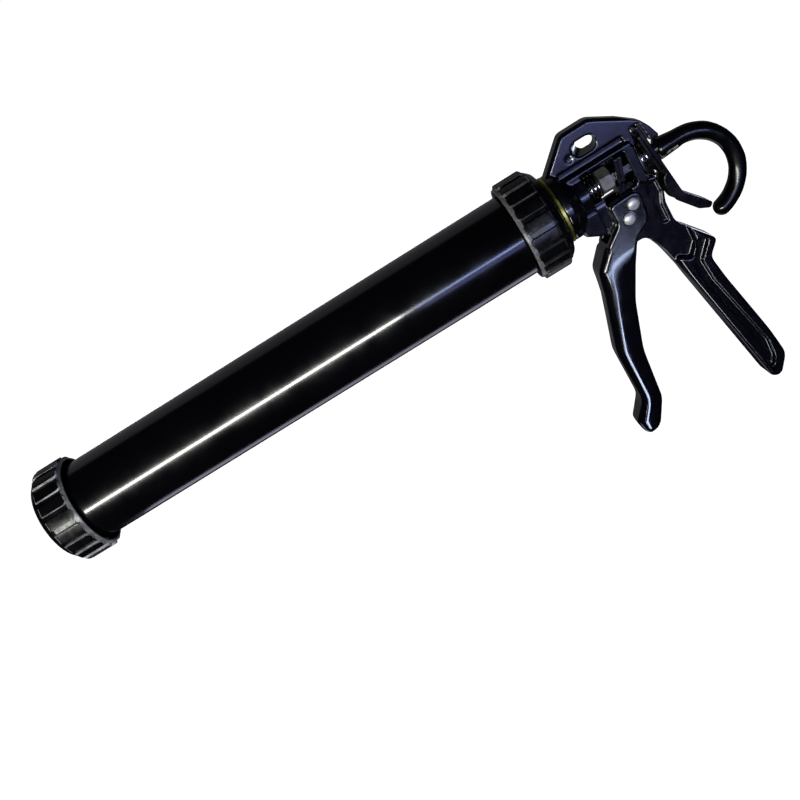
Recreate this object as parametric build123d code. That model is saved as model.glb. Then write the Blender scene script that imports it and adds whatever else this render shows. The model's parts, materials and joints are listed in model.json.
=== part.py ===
from build123d import *
import os
from math import cos, radians, sin, tan

# Bulk caulking gun with a closed barrel, in millimetres.
# X runs along the barrel from the nozzle end to the hook, Z is up and the handles hang toward -Z.
# The origin is the centre of the nozzle opening in the front ring cap.

# Barrel and ring caps
barrel_radius = 27.0
barrel_wall = 1.5
barrel_front = 2.8
barrel_rear = 370.6
cap_length = 27.0
cap_wall = 2.5
cap_rear_end = 375.5
opening_radius = 20.5
cap_thread_radius = 27.05
cap_thread_end = 19.0
cap_relief_radius = 29.9
cap_base_radius = 31.6
cap_pad_radius = 33.3
cap_rim_radius = 31.2
pad_count = 20
pad_angle = 11.5
pad_start = 6.0
pad_end = 25.4
pad_chamfer = 1.3

# Rear adaptor, swivel washer and retaining nut
adaptor_flange_radius = 26.7
adaptor_flange_end = 372.7
adaptor_plug_start = 362.6
adaptor_neck_radius = 20.2
adaptor_end = 375.7
spigot_radius = 12.0
spigot_start = 358.5
washer_start = 376.0
washer_radius = 22.6
retaining_nut_size = 28.0
retaining_nut_end = 362.3

# Body casting
neck_start = 377.7
neck_radius = 22.4
neck_flat_end = 383.0
neck_waist = 389.5
boss_radius = 14.0
boss_end = 397.5
spine_half = 5.3
fin_bevel = 1.6
rod_bore_radius = 4.7
spring_bore_radius = 9.2
spring_bore_start = 388.5
window_top = 13.0
window_bottom = -12.0
window_end = 427.6
ledge_half = 8.8
ledge_top = 15.2
bulkhead_end = 434.2
wall_outside = 10.2
wall_thickness = 1.7
wall_bottom = -8.6
wall_end = -19.0
wall_arc_radius = 17.8
block_half = 9.8
pocket_depth = 2.8
hollow_depth = 1.3
grip_half = 9.6
grip_edge = 2.5
grip_recess_depth = 3.8
link_slot_half = 2.5

# Trigger, rivets and drive link
pivot_x = 412.6
pivot_z = -26.2
drive_x = 418.7
drive_z = -19.1
rivet_radius = 3.0
drive_rivet_radius = 2.5
rivet_head_radius = 3.95
rivet_head_height = 2.1
trigger_half = 10.8
fork_half = 5.6
fork_radius = 20.5
lever_edge = 4.6
cheek_edge = 1.6
link_half = 2.2
running_gap = 0.05
side_gap = 0.3

# Rod, hook and piston
rod_size = 8.0
rod_start = 3.6
hook_start = 462.4
hook_drop = 1.2
hook_radius = 28.4
hook_angle = 164.0
hook_core_radius = 3.9
coat_radius = 5.7
bend_start = 449.0
coat_start = 447.6
piston_radius = 23.5
seal_radius = 25.44
seal_wall = 2.0
seal_length = 11.6
seal_floor = 3.0
backing_radius = 19.0
collar_radius = 7.0
collar_length = 5.6
piston_nut_start = 4.2
piston_nut_size = 14.0
piston_nut_end = 7.2
disc_end = 9.2
seal_floor_end = disc_end + seal_floor
backing_end = 14.2
piston_bore = 4.8

# Drive train in the window
drive_nut_size = 14.2
drive_nut_start = 407.2
drive_nut_end = 415.2
drive_nut_bore = 4.9
plate_tilt = 14.0
plate_thickness = 2.2
plate_half_width = 7.4
plate_foot_half = 5.2
plate_shoulder = -6.6
plate_top = 12.0
plate_bottom = -13.6
plate_hole_radius = 5.5
front_plate_x = 418.7
plate_pitch = 2.6
spring_radius = 7.4
spring_wire = 0.75
spring_pitch = 3.6

# Brake at the rear
brake_tilt = 8.4
catch_hinge_x = 441.3
catch_hinge_z = 19.4
catch_thickness = 2.4
catch_half_width = 7.2
catch_flange = 1.5
catch_drop = 52.5
brake_thickness = 2.0
brake_gap = 0.12
brake_top = 15.6
brake_bottom = -13.0
brake_half_width = 7.2
brake_hole_radius = 5.4
brake_spring_radius = 7.0
brake_spring_wire = 0.65
brake_spring_pitch = 2.1
brake_washer_radius = 8.4
brake_washer_thickness = 0.8

SIDE = Plane.XZ
HALF_TURN = 180
LONG = 200.0


def outline(*corners):
    """Closed face in the XZ plane through (x, z, radius) corners, each rounded by its own radius."""
    count = len(corners)
    arcs = []
    for index, (x, z, radius) in enumerate(corners):
        here = Vector(x, z)
        to_before = (Vector(*corners[index - 1][:2]) - here).normalized()
        to_after = (Vector(*corners[(index + 1) % count][:2]) - here).normalized()
        half = radians(to_before.get_angle(to_after)) / 2
        run = radius / tan(half)
        inward = (to_before + to_after).normalized()
        middle = here + inward * (radius / sin(half) - radius)
        arcs.append((here + to_before * run, middle, here + to_after * run, radius))
    edges = []
    for index, (start, middle, end, radius) in enumerate(arcs):
        if radius > 0:
            edges.append(ThreePointArc(start, middle, end))
        following = arcs[(index + 1) % count][0]
        if (following - end).length > 1e-4:
            edges.append(Line(end, following))
    return SIDE * make_face(edges)


def plate(face, half):
    """Plate of a side profile, centred on the mid-plane."""
    return extrude(face, amount=half, both=True)


def tube_x(start, end, radius, bore=0.0):
    """Round bar or tube along the barrel axis."""
    ring = Circle(radius)
    if bore:
        ring = ring - Circle(bore)
    return extrude(Plane(origin=(start, 0, 0), x_dir=(0, 1, 0), z_dir=(1, 0, 0)) * ring, amount=end - start)


def hexagon_x(start, end, size, bore=0.0):
    """Hexagonal bar along the barrel axis, with one corner up."""
    shape = RegularPolygon(size / 2, 6, major_radius=False, rotation=30)
    if bore:
        shape = shape - Circle(bore)
    return extrude(Plane(origin=(start, 0, 0), x_dir=(0, 1, 0), z_dir=(1, 0, 0)) * shape, amount=end - start)


def pin_y(x, z, radius, half):
    """Round pin across the body."""
    return extrude(SIDE * (Pos(x, z) * Circle(radius)), amount=half, both=True)


def turned(*points):
    """Solid of revolution about the barrel axis from (x, radius) points."""
    return revolve(SIDE * make_face(Polyline(*points, close=True)), Axis.X)


def coil(start, turns, pitch, radius, wire):
    """Open coil spring along the barrel axis."""
    path = Plane(origin=(start, 0, 0), x_dir=(0, 1, 0), z_dir=(1, 0, 0)) * Helix(pitch, turns * pitch, radius)
    section = Plane(origin=path @ 0, z_dir=path % 0) * Circle(wire)
    return sweep(section, path=path, is_frenet=True)


def ring_cap():
    """Ribbed screw ring cap, opening face at x = 0 and barrel side at x = cap_length."""
    shell = turned(
        (0, opening_radius),
        (0, opening_radius + 2.6),
        (1.2, opening_radius + 5.8),
        (3.4, cap_base_radius - 2.6),
        (pad_start, cap_base_radius - 0.6),
        (pad_start + 1.5, cap_base_radius),
        (pad_end - 0.6, cap_base_radius),
        (cap_length - 0.4, cap_rim_radius),
        (cap_length, cap_rim_radius - 0.4),
        (cap_length, cap_relief_radius + 0.3),
        (cap_length - 0.3, cap_relief_radius),
        (cap_thread_end, cap_relief_radius),
        (cap_thread_end - 2, cap_thread_radius),
        (cap_wall, cap_thread_radius),
        (cap_wall, opening_radius),
    )
    pad_ring = turned(
        (pad_start, cap_base_radius - 1),
        (pad_start, cap_base_radius),
        (pad_start + pad_chamfer, cap_pad_radius),
        (pad_end - pad_chamfer, cap_pad_radius),
        (pad_end, cap_base_radius),
        (pad_end, cap_base_radius - 1),
    )
    pad_plane = Plane(origin=(0, 0, 0), x_dir=(0, 1, 0), z_dir=(1, 0, 0))
    reach = 2 * cap_pad_radius
    half = radians(pad_angle / 2)
    wedge = Polyline((0, 0), (reach * cos(half), -reach * sin(half)), (reach * cos(half), reach * sin(half)), close=True)
    sector = extrude(pad_plane * make_face(wedge), amount=cap_length)
    pad = pad_ring & sector
    pads = [pad.rotate(Axis.X, index * 360 / pad_count) for index in range(pad_count)]
    return shell.fuse(*pads)


def barrel_tube():
    """Plain barrel tube."""
    return tube_x(barrel_front, barrel_rear, barrel_radius, barrel_radius - barrel_wall)


def rear_adaptor():
    """Plug that closes the rear of the barrel and turns on the body's spigot."""
    return turned(
        (adaptor_plug_start, spigot_radius + running_gap),
        (adaptor_plug_start, barrel_radius - barrel_wall),
        (barrel_rear, barrel_radius - barrel_wall),
        (barrel_rear, adaptor_flange_radius),
        (adaptor_flange_end, adaptor_flange_radius),
        (adaptor_flange_end, adaptor_neck_radius),
        (adaptor_end, adaptor_neck_radius),
        (adaptor_end, spigot_radius + running_gap),
    )


def neck():
    """Round neck, spigot and spring boss of the casting."""
    return turned(
        (spigot_start, 0),
        (spigot_start, spigot_radius),
        (neck_start, spigot_radius),
        (neck_start, neck_radius - 1),
        (neck_start + 1, neck_radius),
        (neck_flat_end, neck_radius),
        (neck_waist - 2, boss_radius + 3),
        (neck_waist + 1, boss_radius),
        (boss_end, boss_radius),
        (boss_end, 0),
    )


def spine():
    """Central plate of the casting, with the hanger fin, rear column and core of the handle."""
    profile = outline(
        (381.0, -12.0, 0),
        (381.0, 19.0, 0),
        (378.6, 21.5, 0),
        (398.2, 40.6, 6),
        (417.5, 40.6, 10),
        (434.0, 31.0, 0),
        (445.4, 22.0, 0),
        (448.9, 16.4, 6),
        (452.0, 8.8, 0),
        (451.0, 7.4, 0),
        (445.9, 7.6, 1.2),
        (443.8, 21.4, 1.0),
        (437.4, 21.4, 1.4),
        (437.2, 10.4, 1.5),
        (bulkhead_end, 9.4, 1.5),
        (bulkhead_end, -12.2, 2),
        (439.8, -13.6, 2),
        (440.8, -24.0, 5),
        (438.6, -32.0, 6),
        (439.0, -47.0, 12),
        (457.6, -70.2, 3.4),
        (449.2, -79.6, 7),
        (452.4, -97.5, 150),
        (464.6, -150.0, 200),
        (467.8, -171.0, 12),
        (458.9, -185.2, 5),
        (452.6, -181.4, 5),
        (430.4, -80.0, 200),
        (424.6, -58.0, 60),
        (418.0, -44.8, 6),
        (406.0, -45.6, 10),
        (398.6, -40.0, 3),
        (398.6, -12.0, 0),
    )
    solid = plate(profile, spine_half)
    crown = [
        edge
        for edge in solid.edges().filter_by(lambda e: abs(e.center().Y) > spine_half - 0.01)
        if edge.center().Z > 22.5 and edge.center().X < 434
    ]
    return chamfer(crown, length=fin_bevel)


def grip():
    """Full-width lower part of the fixed handle."""
    profile = outline(
        (428.4, -66.0, 2),
        (437.4, -72.4, 2),
        (444.0, -64.4, 2),
        (444.0, -53.25, 0),
        (457.6, -70.2, 3.4),
        (449.2, -79.6, 7),
        (452.4, -97.5, 150),
        (464.6, -150.0, 200),
        (467.8, -171.0, 12),
        (458.9, -185.2, 5),
        (452.6, -181.4, 5),
        (430.4, -80.0, 200),
    )
    solid = plate(profile, grip_half)
    rim = [
        edge
        for edge in solid.edges().filter_by(lambda e: abs(e.center().Y) > grip_half - 0.01)
        if edge.center().Z < -78
    ]
    return fillet(rim, grip_edge)


def grip_recess():
    """Long side recess between the front face and the rear rim of the handle."""
    profile = outline(
        (445.6, -63.2, 1),
        (452.4, -67.2, 1),
        (443.0, -78.6, 3.5),
        (444.6, -94.0, 40),
        (460.4, -155.0, 20),
        (460.0, -168.0, 8),
        (456.4, -176.0, 1.6),
        (452.4, -168.0, 4),
        (453.8, -153.0, 20),
        (439.0, -98.0, 40),
        (436.8, -77.0, 4),
    )
    pocket = plate(profile, grip_half + 1)
    return pocket - plate(profile, grip_half - grip_recess_depth)


def hang_slot():
    """Oblong hanging slot whose walls taper through the fin."""
    near = SIDE.offset(spine_half + 0.1) * Pos(408.1, 27.2) * SlotOverall(16.4, 9.8)
    far = SIDE.offset(-spine_half - 0.1) * Pos(412.2, 27.6) * SlotOverall(10.8, 8.0)
    return loft([near.face(), far.face()])


def body_casting():
    """One casting: neck, fin, window frame, rear column and fixed handle."""
    window = outline(
        (boss_end, window_bottom, 0),
        (boss_end, window_top, 0),
        (window_end, window_top, 2),
        (window_end, window_bottom, 1),
        (423.2, window_bottom, 1),
        (422.4, -22.6, 3),
        (411.6, -22.4, 1),
        (411.6, -18.0, 1),
        (404.0, window_bottom, 1),
    )
    side_pocket = outline((386.0, ledge_top, 1), (386.0, 20.2, 1), (431.0, 20.2, 2), (431.0, ledge_top, 1))
    ledge = outline((388.0, 9.0, 0), (388.0, ledge_top, 1), (433.0, ledge_top, 1), (bulkhead_end, 9.0, 1))
    bulkhead = outline(
        (window_end - 0.6, -9.0, 1),
        (window_end - 0.6, 14.0, 1.5),
        (bulkhead_end, 12.0, 1.5),
        (bulkhead_end, -13.0, 1.5),
        (431.4, -13.0, 1.5),
    )
    far_wall = outline(
        (boss_end - 2, wall_bottom, 0),
        (boss_end - 2, ledge_top, 0),
        (bulkhead_end, ledge_top, 2),
        (442.6, 9.4, 2),
        (444.4, wall_end, 2),
        (412.0, wall_end, 0),
        (412.0, wall_bottom, 0),
    )
    block = outline((384.2, -11.0, 0.8), (397.8, -11.0, 1.5), (397.8, -30.0, 2.5), (384.2, -22.6, 1.2))
    solid = spine() + neck() + plate(ledge, ledge_half) + plate(bulkhead, ledge_half)
    solid += fillet(plate(block, block_half).edges().filter_by(Axis.Y, reverse=True), 0.7) + grip()
    solid -= plate(window, LONG / 4)
    wall = extrude(Pos(0, wall_outside, 0) * far_wall, amount=wall_thickness)
    solid += wall - pin_y(pivot_x, pivot_z, wall_arc_radius, LONG)
    solid -= plate(side_pocket, LONG / 4) - plate(side_pocket, spine_half - pocket_depth)
    solid -= grip_recess()
    hollow = outline(
        (431.4, -15.0, 0.6),
        (438.2, -15.6, 1.5),
        (438.6, -24.0, 4),
        (435.6, -32.0, 5),
        (435.8, -44.0, 1),
        (431.6, -43.0, 0.6),
    )
    solid -= plate(hollow, LONG / 4) - plate(hollow, spine_half - hollow_depth)
    solid -= hang_slot()
    solid -= tube_x(spigot_start - 1, LONG + neck_start, rod_bore_radius)
    solid -= tube_x(spring_bore_start, boss_end + 1, spring_bore_radius)
    solid -= pin_y(pivot_x, pivot_z, rivet_radius, spine_half + 1)
    slot = outline(
        (404.0, -16.0, 2),
        (406.0, -33.0, 4),
        (424.0, -33.0, 4),
        (429.5, -16.0, 2),
        (428.6, -5.0, 2),
        (408.0, -5.0, 2),
    )
    solid -= plate(slot, link_slot_half)
    dimple = SIDE.offset(spine_half - 0.5) * Pos(397.0, 25.0) * Circle(2.5)
    solid -= extrude(dimple, amount=2)
    return solid


def trigger_lower_outline():
    """Side outline of the finger part of the trigger."""
    return outline(
        (409.0, -38.5, 2.4),
        (391.4, -36.4, 4),
        (381.4, -48.5, 9),
        (378.6, -66.0, 16),
        (368.0, -106.0, 40),
        (368.6, -146.0, 14),
        (358.4, -160.0, 5),
        (360.0, -171.4, 5),
        (371.4, -172.0, 8),
        (381.4, -153.0, 20),
        (384.8, -114.0, 60),
        (394.6, -80.0, 60),
        (411.8, -43.2, 3),
    )


def trigger():
    """Forked trigger: finger lever below and two cheeks beside the body's web."""
    lower = plate(trigger_lower_outline(), trigger_half)
    rim = lower.edges().filter_by(lambda e: abs(e.center().Y) > trigger_half - 0.01)
    lower = fillet(rim, lever_edge)
    cheeks = plate(
        outline(
            (404.6, -12.8, 4),
            (405.0, -26.4, 5),
            (392.4, -36.6, 5),
            (396.0, -50.0, 8),
            (406.2, -50.6, 4),
            (413.4, -39.8, 5),
            (424.8, -34.0, 7),
            (426.6, -12.0, 6.5),
        ),
        trigger_half,
    )
    rim = cheeks.edges().filter_by(lambda e: abs(e.center().Y) > trigger_half - 0.01)
    solid = lower + fillet(rim, cheek_edge)
    gap = outline((396.0, -8.0, 0), (396.0, pivot_z, 0), (432.0, pivot_z, 0), (432.0, -8.0, 0))
    relief = outline((409.2, -38.0, 0), (409.2, -52.0, 3), (430.0, -52.0, 0), (430.0, -38.0, 0))
    solid -= plate(gap, fork_half) + pin_y(pivot_x, pivot_z, fork_radius, fork_half) + plate(relief, fork_half)
    solid -= pin_y(pivot_x, pivot_z, rivet_radius + running_gap, LONG)
    return solid - pin_y(drive_x, drive_z, drive_rivet_radius, LONG)


def rivet(x, z, radius, underside):
    """Solid rivet across the trigger with a domed head on each side."""
    solid = pin_y(x, z, radius, underside)
    dome_radius = (rivet_head_radius**2 + rivet_head_height**2) / (2 * rivet_head_height)
    for side in (-1, 1):
        centre = (x, side * (underside + rivet_head_height - dome_radius), z)
        ball = Pos(*centre) * Sphere(dome_radius)
        keep = Pos(x, side * (underside + rivet_head_height), z) * Box(LONG, 2 * rivet_head_height, LONG)
        solid += ball & keep
    return solid


def drive_link():
    """Steel link held by both rivets whose nose pushes the drive plates forward."""
    shape = outline(
        (406.6, -26.2, 5.4),
        (412.4, -32.6, 4.6),
        (419.0, -28.0, 5),
        (424.6, -19.0, 4),
        (426.2, -8.6, 2.2),
        (421.7, -8.6, 2.2),
        (420.0, -14.8, 4),
        (411.2, -18.0, 4),
    )
    solid = plate(shape, link_half)
    solid -= pin_y(pivot_x, pivot_z, rivet_radius + running_gap, LONG)
    return solid - pin_y(drive_x, drive_z, drive_rivet_radius, LONG)


def drive_plate(index):
    """One gripping plate of the drive stack."""
    lean = radians(plate_tilt)
    x = front_plate_x + index * plate_pitch
    plane = Plane(origin=(x, 0, 0), x_dir=(0, 1, 0), z_dir=(cos(lean), 0, -sin(lean)))
    head = Pos(0, (plate_top + plate_shoulder) / 2) * RectangleRounded(
        2 * plate_half_width, plate_top - plate_shoulder, 2.2
    )
    foot = Pos(0, plate_bottom / 2) * RectangleRounded(2 * plate_foot_half, -plate_bottom, 2.2)
    return extrude(plane * (head + foot - Circle(plate_hole_radius)), amount=plate_thickness / 2, both=True)


def drive_nut():
    """Hexagonal spring seat that rides the rod."""
    body = hexagon_x(drive_nut_start, drive_nut_end, drive_nut_size, drive_nut_bore)
    corner = drive_nut_size / 2 / cos(radians(30))
    rounding = turned(
        (drive_nut_start, 0),
        (drive_nut_start, corner - 0.7),
        (drive_nut_start + 1.2, corner + 0.1),
        (drive_nut_end - 1.2, corner + 0.1),
        (drive_nut_end, corner - 0.7),
        (drive_nut_end, 0),
    )
    return body & rounding


def push_rod():
    """Hexagonal rod whose round rear end is bent down into a pulling hook."""
    straight = hexagon_x(rod_start, coat_start - 2, rod_size)
    return straight + hook_bar(coat_start - 2, hook_core_radius)


def hook_arc():
    """Centre line of the hook's round bend."""
    centre = (hook_start, 0, -hook_drop - hook_radius)
    bend = Plane(origin=centre, x_dir=(1, 0, 0), z_dir=(0, -1, 0))
    return bend * CenterArc((0, 0), hook_radius, 90, -hook_angle)


def hook_bar(start, radius):
    """Round bar along the hook: straight, eased down to the bend, then round it."""
    ease = Spline(
        (bend_start, 0, 0),
        (hook_start, 0, -hook_drop),
        tangents=((1, 0, 0), (1, 0, 0)),
    )
    path = Line((start, 0, 0), (bend_start, 0, 0)) + ease + hook_arc()
    section = Plane(origin=(start, 0, 0), x_dir=(0, 1, 0), z_dir=(1, 0, 0)) * Circle(radius)
    return sweep(section, path=path)


def hook_coating():
    """Thick dipped coating over the hook, closed and rounded at the tip."""
    outer = hook_bar(coat_start, coat_radius)
    outer += Pos(*(hook_arc() @ 1)) * Sphere(coat_radius)
    return outer - hook_bar(coat_start, hook_core_radius)


def piston_disc():
    """Front plate of the piston."""
    return tube_x(piston_nut_end, disc_end, piston_radius, piston_bore)


def piston_seal():
    """Moulded cup that wipes the barrel."""
    inside = seal_radius - seal_wall
    return turned(
        (disc_end, piston_bore),
        (disc_end, seal_radius - 1.6),
        (disc_end + 1, seal_radius),
        (disc_end + seal_length, seal_radius),
        (disc_end + seal_length, inside),
        (seal_floor_end, inside - 0.6),
        (seal_floor_end, piston_bore),
    )


def piston_backing():
    """Steel washer behind the cup."""
    return tube_x(seal_floor_end, backing_end, backing_radius, piston_bore)


def piston_collar():
    """Stop collar pinned on the rod behind the piston."""
    return tube_x(backing_end, backing_end + collar_length, collar_radius, piston_bore)


def piston_nut():
    """Nut that clamps the piston on the rod's front end."""
    return hexagon_x(piston_nut_start, piston_nut_end, piston_nut_size, piston_bore)


def brake_plane_x(z):
    """X of the middle of the catch at a height on its straight part."""
    return catch_hinge_x + (catch_hinge_z - z) * tan(radians(brake_tilt))


def catch_lever():
    """Release lever hung in the fin's notch, with the rod through it and a thumb tail."""
    lean = radians(brake_tilt)
    along = Vector(sin(lean), 0, -cos(lean))
    hinge = Vector(catch_hinge_x, 0, catch_hinge_z)
    knee = hinge + along * catch_drop
    tail = Vector(463.6, 0, -48.6)
    tail_way = (tail - knee).normalized()
    normal = Vector(cos(lean), 0, sin(lean)) * (catch_thickness / 2)
    tail_normal = Vector(-tail_way.Z, 0, tail_way.X) * (catch_thickness / 2)
    top = hinge - along * 1.2
    profile = outline(
        ((top - normal).X, (top - normal).Z, 0.6),
        ((top + normal).X, (top + normal).Z, 0.6),
        ((knee + normal * 1.2).X, (knee + normal * 1.2).Z + 0.8, 4),
        ((tail + tail_normal).X, (tail + tail_normal).Z, 1.0),
        ((tail - tail_normal).X, (tail - tail_normal).Z, 1.0),
        ((knee - normal).X, (knee - normal).Z - 0.6, 6),
    )
    flange = outline(
        (447.3, -15.8, 1),
        (443.6, -15.4, 2),
        (441.8, -22.0, 4),
        (444.4, -33.8, 5),
        (455.0, -47.0, 6),
        (462.0, -50.6, 2),
        (463.8, -48.4, 0.6),
        (449.6, -33.4, 4),
    )
    solid = plate(profile, catch_half_width) + plate(flange, catch_half_width)
    solid -= plate(flange, catch_half_width - catch_flange) - plate(profile, catch_half_width)
    return solid - tube_x(bulkhead_end, LONG + bulkhead_end, brake_hole_radius)


def brake_plate():
    """Second gripping plate of the brake, lying against the catch lever."""
    shift = (catch_thickness + brake_thickness) / 2 + brake_gap
    x = brake_plane_x(0) - shift / cos(radians(brake_tilt))
    lean = Plane(
        origin=(x, 0, 0),
        x_dir=(0, 1, 0),
        z_dir=(cos(radians(brake_tilt)), 0, sin(radians(brake_tilt))),
    )
    height = brake_top - brake_bottom
    face = Pos(0, (brake_top + brake_bottom) / 2) * RectangleRounded(2 * brake_half_width, height, 2)
    solid = extrude(lean * face, amount=brake_thickness / 2, both=True)
    return solid - tube_x(bulkhead_end, LONG + bulkhead_end, brake_hole_radius)


def parts():
    """Every piece, by node name."""
    cap = ring_cap()
    catch_side = trigger_half + side_gap
    return {
        "barrel_tube": barrel_tube(),
        "front_ring_cap": cap,
        "rear_ring_cap": Pos(cap_rear_end, 0, 0) * cap.rotate(Axis.Z, HALF_TURN),
        "rear_adaptor": rear_adaptor(),
        "swivel_washer": tube_x(washer_start, neck_start, washer_radius, spigot_radius),
        "retaining_nut": hexagon_x(spigot_start + 0.6, retaining_nut_end, retaining_nut_size, spigot_radius),
        "body_casting": body_casting(),
        "trigger": trigger(),
        "trigger_pivot_rivet": rivet(pivot_x, pivot_z, rivet_radius, catch_side),
        "drive_rivet": rivet(drive_x, drive_z, drive_rivet_radius, trigger_half),
        "drive_link": drive_link(),
        "drive_plate_front": drive_plate(0),
        "drive_plate_rear": drive_plate(1),
        "drive_nut": drive_nut(),
        "return_spring": coil(spring_bore_start + 1.2, 4.6, spring_pitch, spring_radius, spring_wire),
        "brake_spring": coil(bulkhead_end + 1.9, 1.6, brake_spring_pitch, brake_spring_radius, brake_spring_wire),
        "brake_washer": tube_x(
            bulkhead_end, bulkhead_end + brake_washer_thickness, brake_washer_radius, brake_hole_radius
        ),
        "brake_plate": brake_plate(),
        "catch_lever": catch_lever(),
        "push_rod": push_rod(),
        "hook_coating": hook_coating(),
        "piston_disc": piston_disc(),
        "piston_seal": piston_seal(),
        "piston_backing": piston_backing(),
        "piston_collar": piston_collar(),
        "piston_nut": piston_nut(),
    }


os.makedirs("parts", exist_ok=True)
for name, solid in parts().items():
    export_step(solid, f"parts/{name}.step")
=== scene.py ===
import math

import bmesh
import bpy
from mathutils import Matrix, Vector
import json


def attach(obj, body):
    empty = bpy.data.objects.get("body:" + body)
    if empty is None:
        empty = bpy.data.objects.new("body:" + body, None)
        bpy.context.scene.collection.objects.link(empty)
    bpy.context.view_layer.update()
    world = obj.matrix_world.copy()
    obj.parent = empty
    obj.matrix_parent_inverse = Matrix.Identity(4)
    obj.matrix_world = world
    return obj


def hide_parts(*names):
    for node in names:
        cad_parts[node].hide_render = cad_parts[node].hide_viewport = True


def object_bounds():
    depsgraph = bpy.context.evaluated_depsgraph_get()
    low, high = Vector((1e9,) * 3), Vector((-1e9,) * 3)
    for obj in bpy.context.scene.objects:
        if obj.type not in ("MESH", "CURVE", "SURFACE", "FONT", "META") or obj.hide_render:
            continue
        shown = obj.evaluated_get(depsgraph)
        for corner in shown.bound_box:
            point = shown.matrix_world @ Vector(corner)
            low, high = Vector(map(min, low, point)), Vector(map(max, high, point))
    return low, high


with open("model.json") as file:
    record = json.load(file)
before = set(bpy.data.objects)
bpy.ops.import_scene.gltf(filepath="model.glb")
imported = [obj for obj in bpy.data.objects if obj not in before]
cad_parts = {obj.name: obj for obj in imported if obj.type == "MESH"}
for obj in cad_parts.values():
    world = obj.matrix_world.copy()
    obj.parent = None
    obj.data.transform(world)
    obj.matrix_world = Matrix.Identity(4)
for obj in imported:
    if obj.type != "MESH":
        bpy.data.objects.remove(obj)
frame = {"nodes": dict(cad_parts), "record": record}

MM = 0.001
cad_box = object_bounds()
scene = bpy.context.scene
scene.view_settings.view_transform = "Standard"

# ---------------------------------------------------------------- camera


CAMERA_PLACE = (0.2850, -0.5946, 0.2164)
CAMERA_RIGHT = (0.8500, -0.1522, -0.5043)
CAMERA_BACK = (0.0832, -0.9066, 0.4138)
SENSOR_WIDTH = 36.0
LENS = 45.0


def add_camera():
    """Camera rolled so that the barrel rises to the right."""
    data = bpy.data.cameras.new("camera")
    data.sensor_width = SENSOR_WIDTH
    data.lens = LENS
    data.clip_start = 0.01
    data.clip_end = 50.0
    camera = bpy.data.objects.new("camera", data)
    scene.collection.objects.link(camera)
    right = Vector(CAMERA_RIGHT).normalized()
    back = Vector(CAMERA_BACK)
    back = (back - right * back.dot(right)).normalized()
    up = back.cross(right)
    turn = Matrix((right, up, back)).transposed().to_4x4()
    camera.matrix_world = Matrix.Translation(CAMERA_PLACE) @ turn
    scene.camera = camera


add_camera()

# ---------------------------------------------------------------- studio


def area_light(name, place, aim, size, power, colour):
    """Rectangular soft light: size is along X, then across."""
    data = bpy.data.lights.new(name, "AREA")
    data.shape = "RECTANGLE"
    data.size, data.size_y = size
    data.energy = power
    data.color = colour
    light = bpy.data.objects.new(name, data)
    scene.collection.objects.link(light)
    place = Vector(place)
    back = (place - Vector(aim)).normalized()
    along = Vector((1, 0, 0))
    along = (along - back * along.dot(back)).normalized()
    across = back.cross(along)
    turn = Matrix((along, across, back)).transposed().to_4x4()
    light.matrix_world = Matrix.Translation(place) @ turn
    light.visible_camera = False
    return light


def light_only(light, *pieces):
    """Let a lamp reach only the given pieces."""
    group = bpy.data.collections.new(light.name + "_receivers")
    for piece in pieces:
        group.objects.link(piece)
    light.light_linking.receiver_collection = group


# Each lamp: place, aim, size, power and colour.
LAMPS = {
    "front_strip_near": ((-0.16, -1.10, -0.05), (0.05, 0, 0), (0.95, 0.12), 13.0, (0.98, 1.0, 0.93)),
    "front_strip_far": ((0.72, -1.15, -0.06), (0.45, 0, 0), (0.75, 0.10), 2.6, (0.42, 0.52, 1.0)),
    "fin_panel": ((0.68, -1.25, -0.29), (0.40, 0, 0.02), (0.6, 0.18), 0.6, (0.36, 0.38, 1.0)),
    "trigger_panel": ((0.42, -1.15, -0.80), (0.39, 0, -0.11), (0.50, 0.36), 15.0, (0.55, 0.66, 1.0)),
    "crest_strip": ((-0.10, -1.10, -0.78), (0.38, 0, -0.1), (0.30, 0.5), 7.0, (0.85, 0.94, 1.0)),
    "back_panel": ((0.30, 1.20, -0.42), (0.3, 0, 0), (1.8, 0.30), 7.0, (0.95, 0.97, 1.0)),
    "back_side": ((1.35, 0.95, -0.30), (0.42, 0, -0.03), (0.55, 0.5), 5.0, (0.75, 0.80, 1.0)),
    "low_wall": ((0.15, 0.45, -0.90), (0.2, 0, 0), (1.0, 0.35), 1.0, (0.80, 0.75, 0.95)),
}
lamps = {name: area_light(name, *values) for name, values in LAMPS.items()}

WALL_DIRECTION = (0.0, 0.95, 0.3)
WALL_START, WALL_FULL = 0.62, 0.70
ROOM_DARK = (0.006, 0.006, 0.008, 1)
WALL_PALE = (0.12, 0.115, 0.125, 1)


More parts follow.
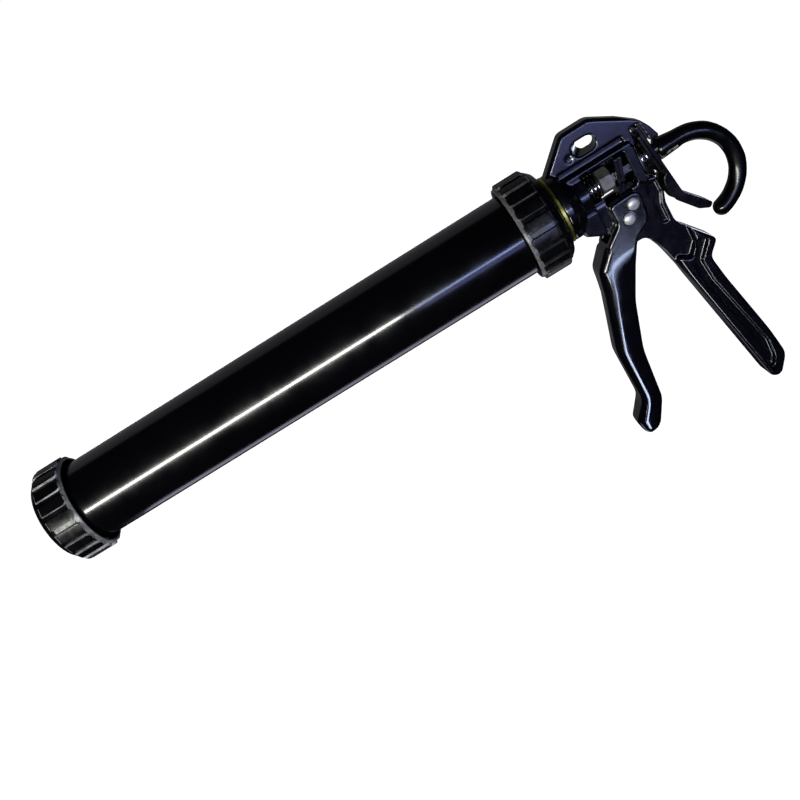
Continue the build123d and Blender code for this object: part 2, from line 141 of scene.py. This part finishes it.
def build_world():
    """White to the camera, a dark room with a paler back wall to everything else."""
    world = bpy.data.worlds.new("studio")
    scene.world = world
    world.use_nodes = True
    tree = world.node_tree
    tree.nodes.clear()
    out = tree.nodes.new("ShaderNodeOutputWorld")
    mix = tree.nodes.new("ShaderNodeMixShader")
    path = tree.nodes.new("ShaderNodeLightPath")
    seen = tree.nodes.new("ShaderNodeBackground")
    seen.inputs["Color"].default_value = (1, 1, 1, 1)
    seen.inputs["Strength"].default_value = 1.0
    room = tree.nodes.new("ShaderNodeBackground")
    room.inputs["Strength"].default_value = 1.0
    coords = tree.nodes.new("ShaderNodeTexCoord")
    dot = tree.nodes.new("ShaderNodeVectorMath")
    dot.operation = "DOT_PRODUCT"
    dot.inputs[1].default_value = WALL_DIRECTION
    ramp = tree.nodes.new("ShaderNodeValToRGB")
    ramp.color_ramp.elements[0].position = WALL_START
    ramp.color_ramp.elements[0].color = ROOM_DARK
    ramp.color_ramp.elements[1].position = WALL_FULL
    ramp.color_ramp.elements[1].color = WALL_PALE
    link = tree.links.new
    link(coords.outputs["Generated"], dot.inputs[0])
    link(dot.outputs["Value"], ramp.inputs["Fac"])
    link(ramp.outputs["Color"], room.inputs["Color"])
    link(path.outputs["Is Camera Ray"], mix.inputs["Fac"])
    link(room.outputs["Background"], mix.inputs[1])
    link(seen.outputs["Background"], mix.inputs[2])
    link(mix.outputs["Shader"], out.inputs["Surface"])


build_world()

FLOOR_HALF_SIZE = 6.0
FLOOR_MIDDLE_X = 0.2
FLOOR_GAP = 0.002
FLOOR_GLOW = 1.05


def build_floor():
    """Plain pale floor under the tips of the handles."""
    mesh = bpy.data.meshes.new("floor")
    grid = bmesh.new()
    bmesh.ops.create_grid(grid, x_segments=8, y_segments=8, size=FLOOR_HALF_SIZE)
    grid.to_mesh(mesh)
    grid.free()
    floor = bpy.data.objects.new("floor", mesh)
    floor.location = (FLOOR_MIDDLE_X, 0.0, cad_box[0][2] - FLOOR_GAP)
    scene.collection.objects.link(floor)
    material = bpy.data.materials.new("floor_paint")
    material.use_nodes = True
    shader = material.node_tree.nodes["Principled BSDF"]
    shader.inputs["Base Color"].default_value = (0.9, 0.9, 0.9, 1)
    shader.inputs["Roughness"].default_value = 0.9
    shader.inputs["Emission Color"].default_value = (1, 1, 1, 1)
    shader.inputs["Emission Strength"].default_value = FLOOR_GLOW
    mesh.materials.append(material)
    floor.visible_glossy = False
    floor.visible_diffuse = False


build_floor()

# ---------------------------------------------------------------- materials


class Paint:
    """Small helper that builds one procedural material."""

    def __init__(self, name):
        self.material = bpy.data.materials.new(name)
        self.material.use_nodes = True
        self.tree = self.material.node_tree
        self.shader = self.tree.nodes["Principled BSDF"]
        self.where = self.tree.nodes.new("ShaderNodeTexCoord").outputs["Object"]
        self.height = None

    def node(self, kind, **values):
        made = self.tree.nodes.new(kind)
        for key, value in values.items():
            setattr(made, key, value)
        return made

    def link(self, source, target):
        self.tree.links.new(source, target)

    def set(self, **values):
        for key, value in values.items():
            socket = self.shader.inputs[key.replace("_", " ")]
            socket.default_value = (*value, 1.0) if isinstance(value, tuple) else value

    def noise(self, scale, detail=3.0, rough=0.5, stretch=None):
        """Noise from 0 to 1 at a scale in cycles per metre."""
        where = self.where
        if stretch:
            mapping = self.node("ShaderNodeMapping")
            mapping.inputs["Scale"].default_value = stretch
            self.link(where, mapping.inputs["Vector"])
            where = mapping.outputs["Vector"]
        noise = self.node("ShaderNodeTexNoise")
        noise.inputs["Scale"].default_value = scale
        noise.inputs["Detail"].default_value = detail
        noise.inputs["Roughness"].default_value = rough
        self.link(where, noise.inputs["Vector"])
        return noise.outputs["Fac"]

    def ramp(self, source, low, high, start=0.35, end=0.65):
        """Map a 0 to 1 value to a range of numbers or colours."""
        if isinstance(low, tuple):
            ramp = self.node("ShaderNodeValToRGB")
            ramp.color_ramp.elements[0].position = start
            ramp.color_ramp.elements[0].color = (*low, 1)
            ramp.color_ramp.elements[1].position = end
            ramp.color_ramp.elements[1].color = (*high, 1)
            self.link(source, ramp.inputs["Fac"])
            return ramp.outputs["Color"]
        ramp = self.node("ShaderNodeMapRange")
        ramp.inputs["From Min"].default_value = start
        ramp.inputs["From Max"].default_value = end
        ramp.inputs["To Min"].default_value = low
        ramp.inputs["To Max"].default_value = high
        self.link(source, ramp.inputs["Value"])
        return ramp.outputs["Result"]

    def mix(self, factor, first, second):
        mix = self.node("ShaderNodeMix", data_type="RGBA")
        self.link(factor, mix.inputs["Factor"])
        for socket, value in ((mix.inputs[6], first), (mix.inputs[7], second)):
            if isinstance(value, tuple):
                socket.default_value = (*value, 1)
            else:
                self.link(value, socket)
        return mix.outputs[2]

    def math(self, operation, first, second):
        node = self.node("ShaderNodeMath", operation=operation)
        self.link(first, node.inputs[0])
        self.link(second, node.inputs[1])
        return node.outputs[0]

    def band(self, source, middle, half):
        """1 where a value is within half of the middle."""
        node = self.node("ShaderNodeMath", operation="COMPARE")
        self.link(source, node.inputs[0])
        node.inputs[1].default_value = middle
        node.inputs[2].default_value = half
        return node.outputs[0]

    def colour(self, source):
        self.link(source, self.shader.inputs["Base Color"])

    def roughness(self, source):
        self.link(source, self.shader.inputs["Roughness"])

    def bump(self, source, distance, strength=1.0):
        bump = self.node("ShaderNodeBump")
        bump.inputs["Strength"].default_value = strength
        bump.inputs["Distance"].default_value = distance
        self.link(source, bump.inputs["Height"])
        if self.height:
            self.link(self.height, bump.inputs["Normal"])
        self.height = bump.outputs["Normal"]
        self.link(self.height, self.shader.inputs["Normal"])


def gloss_black():
    paint = Paint("gloss_black")
    paint.set(IOR=1.5, Coat_Weight=0.6, Coat_Roughness=0.07)
    paint.colour(paint.ramp(paint.noise(14.0), (0.0006, 0.0006, 0.0011), (0.0014, 0.0014, 0.0024)))
    paint.roughness(paint.ramp(paint.noise(60.0, 5.0), 0.16, 0.24))
    paint.bump(paint.noise(900.0, 2.0), 0.000012)
    return paint.material


# Painted highlights on the ring caps, on the barrel-side rim and the pad flanks: places in metres.
FRONT_RIM_X, REAR_RIM_X, RIM_HALF_WIDTH = 0.0257, 0.3498, 0.0017
RIM_RADIUS, RIM_HALF_DEPTH = 0.0313, 0.0011
FLANK_RADIUS, FLANK_HALF_DEPTH = 0.0325, 0.00072
PAINTED_HIGHLIGHT_COLOUR = (0.48, 0.49, 0.50)


def ribbed_plastic(name, painted_highlights=False):
    """Black moulded plastic; a cap's barrel-side rim and the flanks of its pads get a painted pale
    highlight, stronger on the front cap.
    """
    paint = Paint(name)
    paint.set(IOR=1.5)
    base = paint.ramp(paint.noise(90.0, 4.0), (0.0008, 0.0008, 0.0012), (0.0024, 0.0024, 0.0034))
    if painted_highlights:
        split = paint.node("ShaderNodeSeparateXYZ")
        paint.link(paint.where, split.inputs[0])
        x = split.outputs["X"]
        flat = paint.node("ShaderNodeVectorMath", operation="MULTIPLY")
        paint.link(paint.where, flat.inputs[0])
        flat.inputs[1].default_value = (0.0, 1.0, 1.0)
        reach = paint.node("ShaderNodeVectorMath", operation="LENGTH")
        paint.link(flat.outputs[0], reach.inputs[0])
        radius = reach.outputs["Value"]
        front_rim = paint.band(x, FRONT_RIM_X, RIM_HALF_WIDTH)
        rear_rim = paint.band(x, REAR_RIM_X, RIM_HALF_WIDTH)
        rim = paint.math("MAXIMUM", front_rim, rear_rim)
        rim = paint.math("MULTIPLY", rim, paint.band(radius, RIM_RADIUS, RIM_HALF_DEPTH))
        flank = paint.band(radius, FLANK_RADIUS, FLANK_HALF_DEPTH)
        # painted highlight: the pad flanks are pale on the front cap and fade to faint on the rear cap, as
        # if the front cap were lit more
        near = paint.ramp(x, 1.0, 0.12, 0.05, 0.30)
        flank = paint.math("MULTIPLY", flank, near)
        flank = paint.math("MULTIPLY", flank, paint.ramp(paint.noise(160.0), 0.35, 1.0))
        rim = paint.math("MULTIPLY", rim, paint.ramp(paint.noise(500.0, 3.0), 0.2, 0.36))
        # painted highlight: rim and flank marks mixed into the base colour as pale grey
        base = paint.mix(paint.math("MAXIMUM", rim, flank), base, PAINTED_HIGHLIGHT_COLOUR)
    paint.colour(base)
    paint.roughness(paint.ramp(paint.noise(220.0, 4.0), 0.22, 0.34))
    paint.bump(paint.noise(2600.0, 3.0), 0.00002, 0.6)
    return paint.material


def yellow_zinc():
    paint = Paint("yellow_zinc")
    paint.set(Metallic=1.0)
    paint.colour(paint.ramp(paint.noise(160.0, 4.0), (0.28, 0.27, 0.06), (0.55, 0.50, 0.16)))
    paint.roughness(paint.ramp(paint.noise(300.0), 0.3, 0.5))
    paint.bump(paint.noise(1500.0), 0.00002)
    return paint.material


def casting_black():
    paint = Paint("black_casting")
    paint.set(IOR=1.5, Coat_Weight=0.5, Coat_Roughness=0.1)
    paint.colour(paint.ramp(paint.noise(50.0, 4.0), (0.0007, 0.0007, 0.0016), (0.0018, 0.0018, 0.0042)))
    paint.roughness(paint.ramp(paint.noise(120.0, 4.0), 0.17, 0.25))
    paint.bump(paint.noise(300.0, 3.0), 0.000012, 0.5)
    paint.bump(paint.noise(1500.0, 2.0), 0.000003, 0.5)
    return paint.material


def bright_metal(name, low, high, rough, grain=None, metal=1.0):
    paint = Paint(name)
    paint.set(Metallic=metal)
    paint.colour(paint.ramp(paint.noise(250.0, 4.0, stretch=grain), low, high))
    paint.roughness(paint.ramp(paint.noise(500.0, 3.0), *rough))
    paint.bump(paint.noise(1800.0, 2.0, stretch=grain), 0.00002, 0.7)
    return paint.material


def black_steel():
    paint = Paint("black_steel")
    paint.set(IOR=1.4, Coat_Weight=0.15, Coat_Roughness=0.08)
    paint.colour(paint.ramp(paint.noise(120.0, 4.0), (0.0012, 0.0012, 0.0016), (0.004, 0.004, 0.005)))
    paint.roughness(paint.ramp(paint.noise(200.0, 4.0), 0.16, 0.3))
    paint.bump(paint.noise(700.0, 3.0), 0.00003, 0.6)
    return paint.material


# Painted glint on the hook's coating, a pale patch where a highlight falls: middle and half size, in
# metres.
GLINT_X, GLINT_HALF_X = 0.4535, 0.0062
GLINT_Z, GLINT_HALF_Z = -0.0062, 0.0026


def vinyl():
    paint = Paint("vinyl")
    paint.set(IOR=1.5)
    base = paint.ramp(paint.noise(40.0), (0.0008, 0.0008, 0.001), (0.002, 0.002, 0.0025))
    split = paint.node("ShaderNodeSeparateXYZ")
    paint.link(paint.where, split.inputs[0])
    # painted glint: a pale patch on the lower side of the coating just behind its mouth
    along = paint.band(split.outputs["X"], GLINT_X, GLINT_HALF_X)
    across = paint.band(split.outputs["Z"], GLINT_Z, GLINT_HALF_Z)
    glint_patch = paint.math("MULTIPLY", along, across)
    glint_patch = paint.math("MULTIPLY", glint_patch, paint.ramp(paint.noise(260.0, 4.0), 0.0, 1.0, 0.42, 0.56))
    paint.colour(paint.mix(glint_patch, base, (0.34, 0.33, 0.31)))
    paint.roughness(paint.ramp(paint.noise(90.0, 3.0), 0.16, 0.26))
    paint.bump(paint.noise(120.0, 2.0), 0.00006, 0.6)
    return paint.material


def pale_plastic():
    paint = Paint("seal_plastic")
    paint.colour(paint.ramp(paint.noise(100.0), (0.6, 0.58, 0.52), (0.75, 0.73, 0.68)))
    paint.roughness(paint.ramp(paint.noise(200.0), 0.4, 0.55))
    paint.bump(paint.noise(1200.0), 0.00003)
    return paint.material


ZINC = ((0.12, 0.12, 0.115), (0.2, 0.2, 0.19), (0.38, 0.5))
RIVET = ((0.45, 0.45, 0.46), (0.66, 0.66, 0.68), (0.28, 0.42))
SPRING = ((0.5, 0.5, 0.52), (0.72, 0.72, 0.75), (0.12, 0.22))
ROD = ((0.10, 0.10, 0.11), (0.2, 0.2, 0.22), (0.2, 0.35))
DRAWN_GRAIN = (1, 12, 12)
LOOKS = {
    "gloss_black": gloss_black(),
    "ribbed_plastic": ribbed_plastic("ribbed_plastic", painted_highlights=True),
    "yellow_zinc": yellow_zinc(),
    "black_casting": casting_black(),
    "zinc_steel": bright_metal("zinc_steel", *ZINC, metal=0.6),
    "rivet_metal": bright_metal("rivet_metal", *RIVET, metal=0.5),
    "spring_steel": bright_metal("spring_steel", *SPRING),
    "rod_steel": bright_metal("rod_steel", *ROD, grain=DRAWN_GRAIN),
    "black_steel": black_steel(),
    "vinyl": vinyl(),
    "seal_plastic": pale_plastic(),
    "dark_plastic": ribbed_plastic("dark_plastic"),
}

for subpart in frame["record"]["subparts"]:
    node = frame["nodes"][subpart["node"]]
    for slot in node.material_slots:
        slot.material = LOOKS[subpart["material_slot"]]
    if not node.material_slots:
        node.data.materials.append(LOOKS[subpart["material_slot"]])

# ---------------------------------------------------------------- pieces


def add_piece(name, mesh, body, slot, *nodes):
    """Put a finished mesh into the frame in place of CAD nodes."""
    piece = bpy.data.objects.new(name, mesh)
    scene.collection.objects.link(piece)
    mesh.materials.clear()
    mesh.materials.append(LOOKS[slot])
    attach(piece, body)
    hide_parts(*nodes)
    return piece


def finish_mesh(name, grid, sharp):
    """Mesh from a bmesh, shaded smooth up to a sharp angle."""
    bmesh.ops.remove_doubles(grid, verts=grid.verts, dist=1e-7)
    bmesh.ops.recalc_face_normals(grid, faces=grid.faces)
    for face in grid.faces:
        face.smooth = True
    for edge in grid.edges:
        edge.smooth = len(edge.link_faces) != 2 or edge.calc_face_angle(0.0) < math.radians(sharp)
    mesh = bpy.data.meshes.new(name)
    grid.to_mesh(mesh)
    grid.free()
    return mesh


def tube_surface(rows, closed=True, caps=False):
    """Quad surface through rows of points: each row is a ring."""
    grid = bmesh.new()
    rings = [[grid.verts.new(point) for point in row] for row in rows]
    pairs = list(zip(rings, rings[1:]))
    if closed:
        pairs.append((rings[-1], rings[0]))
    for first, second in pairs:
        count = len(first)
        for index in range(count):
            after = (index + 1) % count
            grid.faces.new((first[index], first[after], second[after], second[index]))
    if caps:
        grid.faces.new(rings[0])
        grid.faces.new(rings[-1])
    return grid


def lathe(profile, segments):
    """Closed surface of revolution about X from (x, radius) points in millimetres."""
    rows = []
    for x, radius in profile:
        row = []
        for index in range(segments):
            turn = 2 * math.pi * index / segments
            row.append((x * MM, radius * math.sin(turn) * MM, radius * math.cos(turn) * MM))
        rows.append(row)
    return tube_surface(rows)


def rounded(points, steps):
    """Profile with its corners rounded: (x, y, corner radius) points, closed."""
    result = []
    count = len(points)
    for index, (x, y, radius) in enumerate(points):
        here = Vector((x, y))
        before = Vector(points[index - 1][:2]) - here
        after = Vector(points[(index + 1) % count][:2]) - here
        if radius <= 0:
            result.append((x, y))
            continue
        half = before.angle(after) / 2
        run = min(radius / math.tan(half), before.length * 0.49, after.length * 0.49)
        start = here + before.normalized() * run
        end = here + after.normalized() * run
        for step in range(steps + 1):
            t = step / steps
            point = start * (1 - t) ** 2 + here * 2 * t * (1 - t) + end * t**2
            result.append((point.x, point.y))
    return result


def smooth_step(value, low, high):
    """0 below low, 1 above high, with a soft change between them."""
    t = min(max((value - low) / (high - low), 0.0), 1.0)
    return t * t * (3 - 2 * t)


# Ring cap: angles in degrees, lengths in millimetres from its outer face.
PAD_COUNT = 20
PAD_HALF = 5.9
PAD_EDGE = 0.45
PAD_RISE = 1.75
PAD_RISE_START, PAD_RISE_END = 5.6, 7.4
PAD_FALL_START, PAD_FALL_END = 24.6, 25.5
PAD_ROUND_START, PAD_ROUND_LENGTH = 22.2, 3.4
CAP_RADIUS = 31.62
CAP_LIP_START = 25.55
GROOVE_COUNT = 5
GROOVE_START, GROOVE_PITCH = 18.2, 3.1
GROOVE_ROOT, GROOVE_CREST = 27.9, 27.12
REAR_CAP_FACE = 375.5


def pad_height(x, turn):
    """Height of the cap's raised pads, rounded at the barrel side, at a place along and round it."""
    pitch = 360.0 / PAD_COUNT
    angle = (math.degrees(turn) + pitch / 2) % pitch - pitch / 2
    end = min(max((x - PAD_ROUND_START) / PAD_ROUND_LENGTH, 0.0), 0.98)
    half = PAD_HALF * math.sqrt(1.0 - end * end)
    across = 1.0 - smooth_step(abs(angle), half - PAD_EDGE, half + PAD_EDGE)
    along = smooth_step(x, PAD_RISE_START, PAD_RISE_END)
    return across * (along * (1.0 - smooth_step(x, PAD_FALL_START, PAD_FALL_END)))


def cap_angles():
    """Angles round the cap, close together on the flanks of the pads."""
    pitch = 360.0 / PAD_COUNT
    marks = [-PAD_HALF + PAD_EDGE * share for share in (-1.0, -0.6, -0.2, 0.2, 0.6, 1.0)]
    marks += [-5.0, -4.5, -4.0, -3.4, -2.7, -1.8, -0.9]
    marks += [0.0] + [-mark for mark in reversed(marks)]
    marks.append(pitch / 2)
    return [math.radians(pitch * pad + mark) for pad in range(PAD_COUNT) for mark in marks]


def ring_cap_mesh(name, place):
    """Ring cap with rounded pads and plain grooves inside; place is 0, or the turned cap's outer face."""
    outer = rounded(
        [
            (0.0, 20.5, 0.3),
            (0.0, 23.0, 1.2),
            (1.8, 27.6, 3.0),
            (5.2, 30.9, 2.5),
            (8.0, 31.6, 2.0),
            (25.0, 31.6, 0.6),
            (26.9, 31.2, 0.5),
            (26.9, 30.0, 0.3),
        ],
        5,
    )
    nose = [point for point in outer if point[0] < 5.5]
    slope = [(5.6 + 0.3 * step, 31.0 + 0.08 * step) for step in range(7)]
    straight = [8.0, 9.0, 21.5, 22.2, 22.8, 23.3, 23.7, 24.1, 24.4, 24.7, 25.0, 25.25, 25.5]
    lip = [point for point in outer if point[0] > CAP_LIP_START]
    rows = nose + slope + [(x, CAP_RADIUS) for x in straight] + lip + [(19.6, 29.8), (18.9, 29.6)]
    for groove in range(GROOVE_COUNT):
        start = GROOVE_START - groove * GROOVE_PITCH
        rows += [(start, GROOVE_ROOT), (start - 0.8, GROOVE_CREST)]
        rows += [(start - 1.4, GROOVE_CREST), (start - 2.2, GROOVE_ROOT)]
    rows += [(2.6, 27.9), (2.5, 27.4), (2.5, 20.7)]
    angles = cap_angles()
    side = 1 if place == 0.0 else -1
    rings = []
    for x, radius in rows:
        px = x if place == 0.0 else place - x
        padded = radius > 30.9 and 5.5 < x < 25.6
        ring = []
        for turn in angles:
            grown = radius + (PAD_RISE * pad_height(x, turn) if padded else 0.0)
            ring.append((px * MM, side * grown * math.sin(turn) * MM, grown * math.cos(turn) * MM))
        rings.append(ring)
    return finish_mesh(name, tube_surface(rings), 38.0)


BARREL_START, BARREL_END = 2.85, 370.6
BARREL_INSIDE, BARREL_OUTSIDE = 25.5, 27.0


def barrel_mesh():
    """Drawn tube with softened ends."""
    wall = [
        (BARREL_START, BARREL_INSIDE, 0.3),
        (BARREL_START, BARREL_OUTSIDE, 0.5),
        (BARREL_END, BARREL_OUTSIDE, 0.5),
        (BARREL_END, BARREL_INSIDE, 0.3),
    ]
    return finish_mesh("barrel_tube_skin", lathe(rounded(wall, 3), 256), 50.0)


def frames_along(points):
    """Point, tangent, cross axis and normal at each point of a path in the XZ plane."""
    result = []
    across = Vector((0, 1, 0))
    for index, point in enumerate(points):
        before = points[max(index - 1, 0)]
        after = points[min(index + 1, len(points) - 1)]
        tangent = (after - before).normalized()
        result.append((point, tangent, across, tangent.cross(across)))
    return result


# Hook and its coating, in millimetres and degrees.
COAT_START = 447.6
BEND_X, BEND_Z, BEND_RADIUS = 462.4, -29.6, 28.4
BEND_SWEEP = 164.0
BEND_STEPS = 56
COAT_RADIUS = 5.62
TIP_RADIUS, TIP_LENGTH = 5.68, 5.4
MOUTH_DROP, MOUTH_FLARE = 1.1, 1.3
MOUTH_LIP = ((3.2, 0.5), (5.0, 0.0), (6.0, 0.05), (6.6, 0.35))


def hook_path(start):
    """Centre line of the hook from x = start, in millimetres."""
    bend = Vector((BEND_X, 0.0, BEND_Z))
    points = [Vector((start, 0, 0)), Vector((start + 0.7, 0, 0))]
    for index in range(1, 8):
        share = index / 8
        points.append(Vector((449.0 + 13.4 * share, 0, -1.2 * smooth_step(share, 0.0, 1.0))))
    for index in range(BEND_STEPS + 1):
        turn = math.radians(90.0 - BEND_SWEEP * index / BEND_STEPS)
        points.append(bend + Vector((math.cos(turn), 0, math.sin(turn))) * BEND_RADIUS)
    return points


def hook_coating_mesh():
    """Dipped coating: a soft lip at the mouth, a full round tip and a slightly uneven skin."""
    frames = frames_along(hook_path(COAT_START))
    rings = []
    segments = 48

    def ring(centre, across, normal, radius):
        made = []
        for index in range(segments):
            turn = 2 * math.pi * index / segments
            made.append((centre + (across * math.cos(turn) + normal * math.sin(turn)) * radius) * MM)
        return made

    place, tangent, across, normal = frames[0]
    mouth = place + Vector((0, 0, -1.0))
    for radius, along in MOUTH_LIP:
        rings.append(ring(mouth + tangent * along, across, normal, radius))
    for index, (place, tangent, across, normal) in enumerate(frames[1:], 1):
        uneven = 0.04 * math.sin(index * 0.37) + 0.03 * math.sin(index * 0.91 + 1.0)
        swell = 0.10 * smooth_step(index, len(frames) - 14, len(frames) - 2)
        flare = (1.0 - smooth_step(place.x, 449.0, 465.0)) if index < 30 else 0.0
        lowered = place + Vector((0, 0, -MOUTH_DROP * flare))
        rings.append(ring(lowered, across, normal, COAT_RADIUS + uneven + swell + MOUTH_FLARE * flare))
    place, tangent, across, normal = frames[-1]
    for index in range(1, 9):
        turn = math.pi / 2 * index / 9
        centre = place + tangent * (TIP_LENGTH * math.sin(turn))
        rings.append(ring(centre, across, normal, TIP_RADIUS * math.cos(turn)))
    return finish_mesh("hook_coating_skin", tube_surface(rings, closed=False, caps=True), 60.0)


# End turns of a spring: how many lie flat, and the share of the length they take up.
FLAT_TURNS = 0.75
FLAT_RISE = 0.04


def coil_mesh(name, start, end, radius, wire, turns):
    """Compression spring along X whose end turns lie flat."""
    steps = int(turns * 40)
    segments = 14
    ends = FLAT_TURNS / turns
    axis = Vector((1, 0, 0))
    rings = []
    for index in range(steps + 1):
        t = index / steps
        turn = t * turns
        if t < ends:
            share = FLAT_RISE * t / ends
        elif t > 1 - ends:
            share = 1 - FLAT_RISE * (1 - t) / ends
        else:
            share = FLAT_RISE + (1 - 2 * FLAT_RISE) * (t - ends) / (1 - 2 * ends)
        x = start + wire + (end - start - 2 * wire) * share
        angle = 2 * math.pi * turn
        out = Vector((0, math.sin(angle), math.cos(angle)))
        place = Vector((x, 0, 0)) + out * radius
        ring = []
        for side in range(segments):
            a = 2 * math.pi * side / segments
            section = out * (wire * math.cos(a)) + axis * (wire * math.sin(a))
            ring.append((place + section) * MM)
        rings.append(ring)
    return finish_mesh(name, tube_surface(rings, closed=False, caps=True), 60.0)


def turned_y(name, x, z, profile, segments=48):
    """Turned piece about a cross axis: profile of (y, radius) in millimetres."""
    rings = []
    for y, radius in profile:
        ring = []
        for index in range(segments):
            turn = 2 * math.pi * index / segments
            ring.append(Vector((x + radius * math.cos(turn), y, z + radius * math.sin(turn))) * MM)
        rings.append(ring)
    return finish_mesh(name, tube_surface(rings, closed=False, caps=True), 50.0)


RIVET_HEAD_RADIUS, RIVET_HEAD_HEIGHT = 3.95, 2.0
DOME_BASE = 0.35


def rivet_profile(shank, underside):
    """Profile of a rivet with a domed head at both ends."""
    head, height = RIVET_HEAD_RADIUS, RIVET_HEAD_HEIGHT
    dome = []
    for index in range(9):
        turn = math.pi / 2 * index / 8.5
        dome.append((underside + DOME_BASE + (height - DOME_BASE) * math.sin(turn), head * math.cos(turn)))
    side = [(underside, shank), (underside, head - 0.25), (underside + 0.2, head)] + dome
    return [(-y, r) for y, r in reversed(side)] + side


def box_mesh_into(mesh, low, high):
    """Add a closed box, in millimetres, to a mesh that is remeshed afterwards."""
    grid = bmesh.new()
    grid.from_mesh(mesh)
    corners = [
        grid.verts.new(Vector((x, y, z)) * MM)
        for x in (low[0], high[0]) for y in (low[1], high[1]) for z in (low[2], high[2])
    ]
    for face in ((0, 1, 3, 2), (4, 6, 7, 5), (0, 4, 5, 1), (2, 3, 7, 6), (0, 2, 6, 4), (1, 5, 7, 3)):
        grid.faces.new([corners[index] for index in face])
    grid.to_mesh(mesh)
    grid.free()


SMOOTH_FACTOR = 0.5


def cast_piece(name, node, body, slot, voxel, passes, shape=None, fills=()):
    """Soften a CAD solid's edges as casting and paint do, in a mesh of its own."""
    source = frame["nodes"][node]
    mesh = source.data.copy()
    for low, high in fills:
        box_mesh_into(mesh, low, high)
    piece = bpy.data.objects.new(name, mesh)
    scene.collection.objects.link(piece)
    remesh = piece.modifiers.new("remesh", "REMESH")
    remesh.mode = "VOXEL"
    remesh.voxel_size = voxel * MM
    smooth = piece.modifiers.new("smooth", "SMOOTH")
    smooth.factor = SMOOTH_FACTOR
    smooth.iterations = passes
    bpy.context.view_layer.update()
    graph = bpy.context.evaluated_depsgraph_get()
    result = bpy.data.meshes.new_from_object(piece.evaluated_get(graph))
    piece.modifiers.clear()
    bpy.data.objects.remove(piece)
    if shape:
        for vertex in result.vertices:
            vertex.co = shape(vertex.co)
    for polygon in result.polygons:
        polygon.use_smooth = True
    result.name = name
    return add_piece(name, result, body, slot, node)


# Front and rear edges of the finger lever, as (z, x) points in millimetres.
TRIGGER_FRONT = (
    (-44, 384.4), (-50, 380.6), (-66, 378.6), (-84, 374), (-106, 368),
    (-130, 368), (-146, 367.4), (-160, 358.6), (-172, 360.5),
)
TRIGGER_REAR = (
    (-44, 414), (-56, 407.4), (-68, 400.8), (-80, 394.8), (-97, 388.8),
    (-114, 385), (-134, 383.2), (-153, 381), (-172, 371.4),
)
# The lever's half width as shares of the plain one, from its front edge to its rear edge.
THIN_START, THIN_FULL = 44.0, 60.0
NOSE_WIDTH, NOSE_GAIN, NOSE_DEPTH = 0.55, 0.44, 0.28
REAR_LOSS, REAR_START = 0.30, 0.24


def along_edge(table, z):
    """Where an edge given as (z, x) points lies at a height, in millimetres."""
    for (z0, x0), (z1, x1) in zip(table, table[1:]):
        if z >= z1:
            share = min(max((z0 - z) / (z0 - z1), 0.0), 1.0)
            return x0 + (x1 - x0) * share
    return table[-1][1]


def thin_trigger(point):
    """Thin the finger lever towards its rear edge and round its front."""
    x, y, z = (value / MM for value in point)
    blend = smooth_step(-z, THIN_START, THIN_FULL)
    if blend <= 0.0:
        return point
    front = along_edge(TRIGGER_FRONT, z)
    rear = along_edge(TRIGGER_REAR, z)
    depth = min(max((x - front) / (rear - front), 0.0), 1.0)
    rise = math.sqrt(max(0.0, 1.0 - (1.0 - min(depth / NOSE_DEPTH, 1.0)) ** 2))
    fall = max(0.0, (depth - REAR_START) / (1.0 - REAR_START))
    scale = NOSE_WIDTH + NOSE_GAIN * rise - REAR_LOSS * fall**1.6
    return Vector((point.x, point.y * (1.0 + (scale - 1.0) * blend), point.z))


barrel_skin = add_piece("barrel_tube_skin", barrel_mesh(), "barrel", "gloss_black", "barrel_tube")
for end, face in (("front", 0.0), ("rear", REAR_CAP_FACE)):
    cap_mesh = ring_cap_mesh(end + "_cap_skin", face)
    add_piece(end + "_cap_skin", cap_mesh, end + "_cap", "ribbed_plastic", end + "_ring_cap")
add_piece("hook_coating_skin", hook_coating_mesh(), "rod", "vinyl", "hook_coating")

# Each spring: start, end, coil radius, wire radius and turns.
SPRINGS = {
    "return_spring": (388.9, 407.1, 7.4, 0.75, 7.6),
    "brake_spring": (435.1, 440.0, 7.0, 0.65, 2.4),
}
for spring, sizes in SPRINGS.items():
    add_piece(spring + "_coil", coil_mesh(spring + "_coil", *sizes), "frame", "spring_steel", spring)

# Each rivet: body, x, z, shank radius and half the width it holds together.
RIVETS = {
    "trigger_pivot_rivet": ("frame", 412.6, -26.2, 3.0, 11.1),
    "drive_rivet": ("trigger_lever", 418.7, -19.1, 2.5, 10.8),
}
for rivet, (body, x, z, shank, underside) in RIVETS.items():
    rivet_mesh = turned_y(rivet + "_head", x, z, rivet_profile(shank, underside))
    add_piece(rivet + "_head", rivet_mesh, body, "rivet_metal", rivet)

# Boxes that close the gap under the window, in millimetres.
WINDOW_SILL = ((390.0, -5.0, -13.0), (405.5, 5.0, -8.8))
FAR_SHELF = ((396.0, 4.4, -8.9), (406.5, 9.4, -7.5))
body_skin = cast_piece(
    "body_casting_skin", "body_casting", "frame", "black_casting", 0.5, 5, fills=(WINDOW_SILL, FAR_SHELF)
)
trigger_skin = cast_piece(
    "trigger_skin", "trigger", "trigger_lever", "black_casting", 0.5, 5, shape=thin_trigger
)
cast_piece("catch_lever_skin", "catch_lever", "catch", "black_steel", 0.35, 2)
cast_piece("brake_plate_skin", "brake_plate", "catch", "black_steel", 0.35, 1)

light_only(lamps["trigger_panel"], trigger_skin)
light_only(lamps["crest_strip"], trigger_skin, body_skin)
light_only(lamps["back_panel"], barrel_skin)

# ---------------------------------------------------------------- imports


import json
